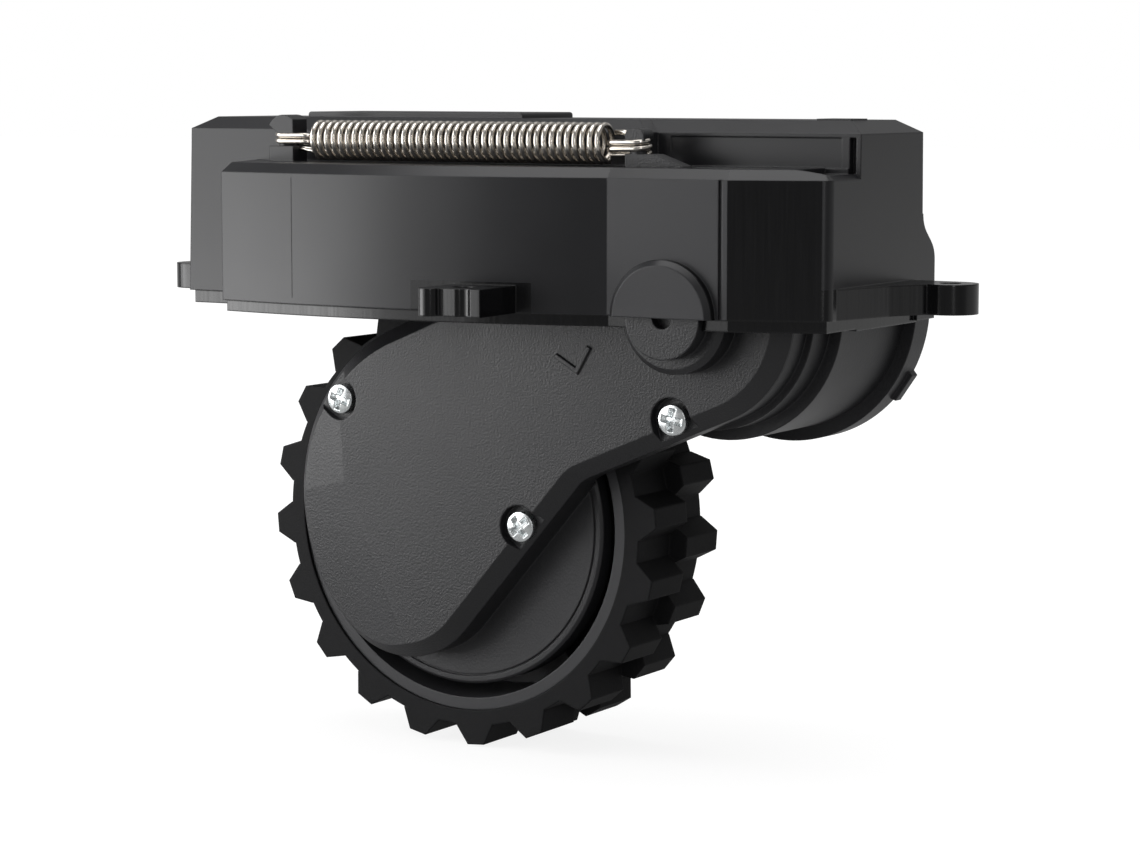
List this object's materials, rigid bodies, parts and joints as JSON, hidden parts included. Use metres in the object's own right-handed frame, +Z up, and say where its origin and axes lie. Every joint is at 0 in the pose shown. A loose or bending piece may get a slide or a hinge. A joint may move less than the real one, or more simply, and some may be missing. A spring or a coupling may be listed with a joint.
{
  "type": "robot vacuum wheel module",
  "caption": "Drive wheel module of a robot vacuum: a ribbed tyre on a geared swing arm, sprung down from a black housing with screw ears.",
  "frame": {"origin": "centre of the front ear's screw hole, on the underside of the ears where the module seats on the chassis", "axes": "+X towards the pivot end, +Y from the spring side across to the wheel's outer side, +Z up out of the chassis"},
  "size_m": [0.1369, 0.0596, 0.0978],
  "materials": {
    "housing_plastic": "fine satin grain",
    "gearbox_plastic": "satin",
    "cover_plastic": "fine spark-eroded grain",
    "hub_plastic": "satin",
    "tyre_rubber": "dull",
    "spring_steel": "bright drawn wire",
    "zinc": "zinc plated",
    "motor_steel": "plated",
    "motor_plastic": "gloss",
    "polished_steel": "ground",
    "brass": "cut",
    "bronze": "sintered",
    "gear_plastic": "natural acetal"
  },
  "bodies": {
    "housing": {"housing": "housing_plastic", "tension_spring": "spring_steel"},
    "arm": {"gearbox_case": "gearbox_plastic", "gearbox_cover": "cover_plastic", "disc_cover": "gearbox_plastic", "disc_cover_screws": "zinc", "cover_screws": "zinc", "motor_cap": "gearbox_plastic", "motor_can": "motor_steel", "motor_end_bell": "motor_plastic", "motor_screws": "zinc", "first_gear_pin": "polished_steel", "second_gear_pin": "polished_steel", "third_gear_pin": "polished_steel", "front_axle_bush": "bronze", "rear_axle_bush": "bronze"},
    "wheel": {"tyre": "tyre_rubber", "wheel_hub": "hub_plastic", "wheel_axle": "polished_steel", "output_gear": "gear_plastic", "wheel_washer": "zinc", "wheel_screw": "zinc"},
    "first_gear": {"first_gear": "gear_plastic"},
    "second_gear": {"second_gear": "gear_plastic"},
    "third_gear": {"third_gear": "gear_plastic"},
    "rotor": {"motor_shaft": "polished_steel", "motor_pinion": "brass"}
  },
  "joints": [
    {"name": "arm_lift", "type": "hinge", "parent": "housing", "child": "arm", "pos_m": [0.0274, 0.01, 0], "axis": [0, 1, 0], "range_deg": [0, 24], "stiffness_Nm_per_rad": 0.35, "springref_deg": -40.11, "deforming": ["tension_spring"]},
    {"name": "wheel_spin", "type": "hinge", "parent": "arm", "child": "wheel", "pos_m": [-0.0165, 0.0235, -0.0341], "axis": [0, 1, 0], "continuous": true},
    {"name": "third_gear_spin", "type": "hinge", "parent": "arm", "child": "third_gear", "pos_m": [-0.01257, 0.02, -0.01561], "axis": [0, 1, 0], "continuous": true},
    {"name": "second_gear_spin", "type": "hinge", "parent": "arm", "child": "second_gear", "pos_m": [0.00216, 0.02, -0.01281], "axis": [0, 1, 0], "continuous": true},
    {"name": "first_gear_spin", "type": "hinge", "parent": "arm", "child": "first_gear", "pos_m": [0.01479, 0.02, -0.00314], "axis": [0, 1, 0], "continuous": true},
    {"name": "motor_spin", "type": "hinge", "parent": "arm", "child": "rotor", "pos_m": [0.0274, 0.02, 0], "axis": [0, 1, 0], "continuous": true}
  ],
  "couplings": [
    {"joint": "third_gear_spin", "follows": "wheel_spin", "ratio": -3.5},
    {"joint": "second_gear_spin", "follows": "wheel_spin", "ratio": 9},
    {"joint": "first_gear_spin", "follows": "wheel_spin", "ratio": -22.8},
    {"joint": "motor_spin", "follows": "wheel_spin", "ratio": 76}
  ]
}
